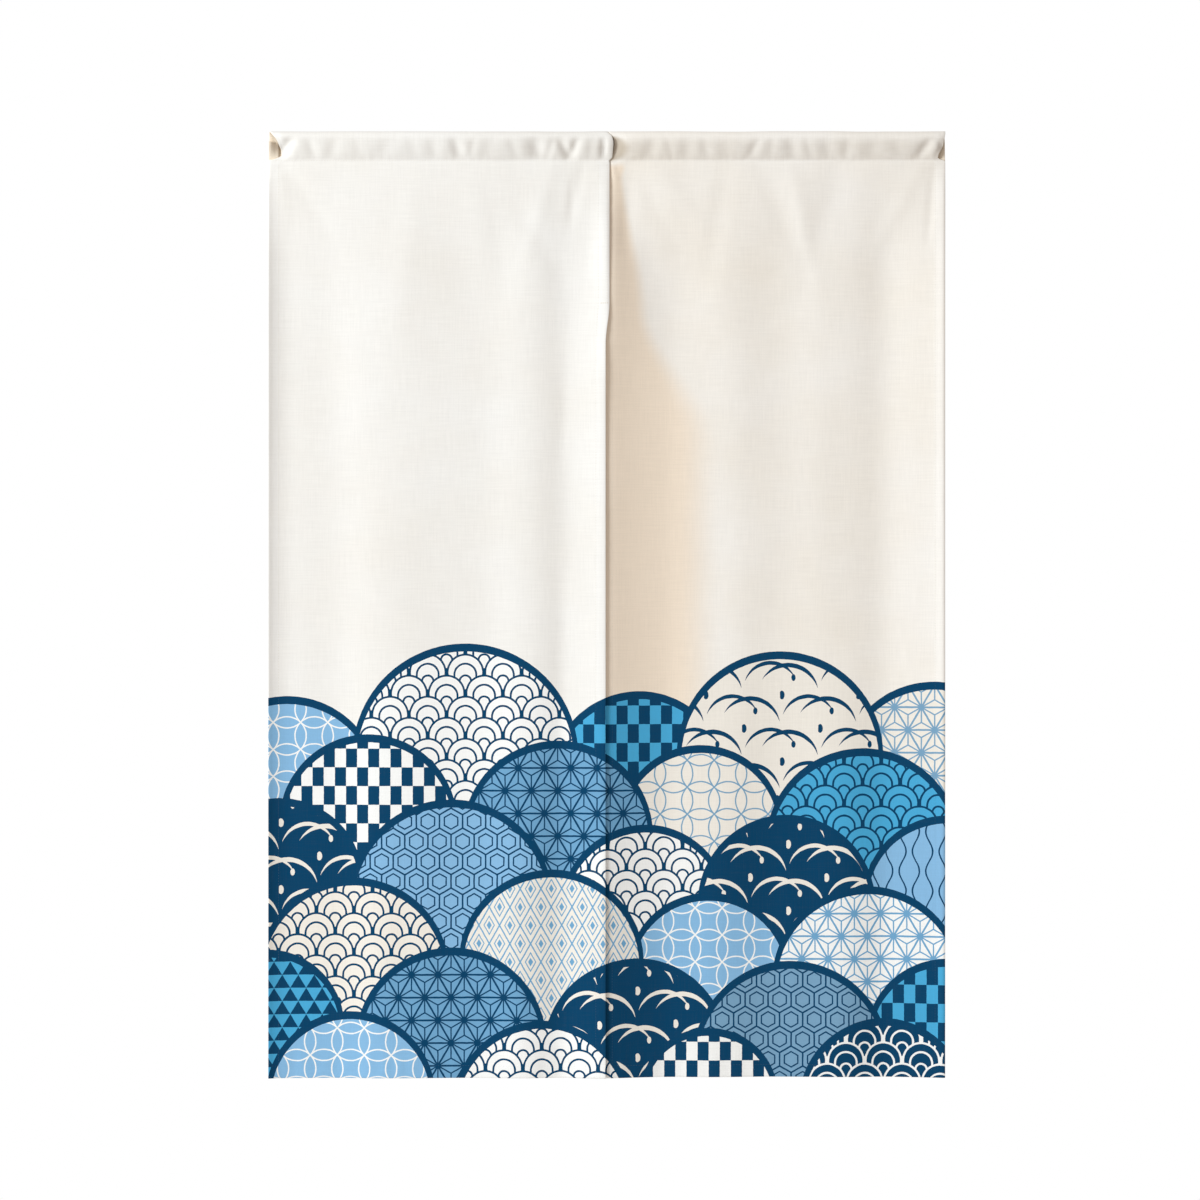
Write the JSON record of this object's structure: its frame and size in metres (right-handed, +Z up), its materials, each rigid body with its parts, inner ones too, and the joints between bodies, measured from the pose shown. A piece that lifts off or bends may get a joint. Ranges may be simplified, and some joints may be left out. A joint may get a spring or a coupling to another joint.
{
  "type": "noren curtain",
  "caption": "Split linen door curtain that hangs from a rod through the pocket along its top, plain above with a band of overlapping wave mounds printed along its foot.",
  "frame": {"origin": "middle of the top edge, where the rod carries the curtain", "axes": "+Z up, +X to the viewer's right as the printed front is seen, and the front faces -Y"},
  "size_m": [0.8507, 0.0238, 1.19],
  "materials": {
    "printed_linen": "matt cream linen in plain weave, printed in navy, blues and white over the lower half",
    "heading_linen": "the same cream linen, unprinted, turned over into the rod pocket and stitched with cream thread"
  },
  "bodies": {
    "root": {"panel_left": "printed_linen", "panel_right": "printed_linen", "rod_pocket_left": "heading_linen", "rod_pocket_right": "heading_linen"}
  },
  "joints": []
}
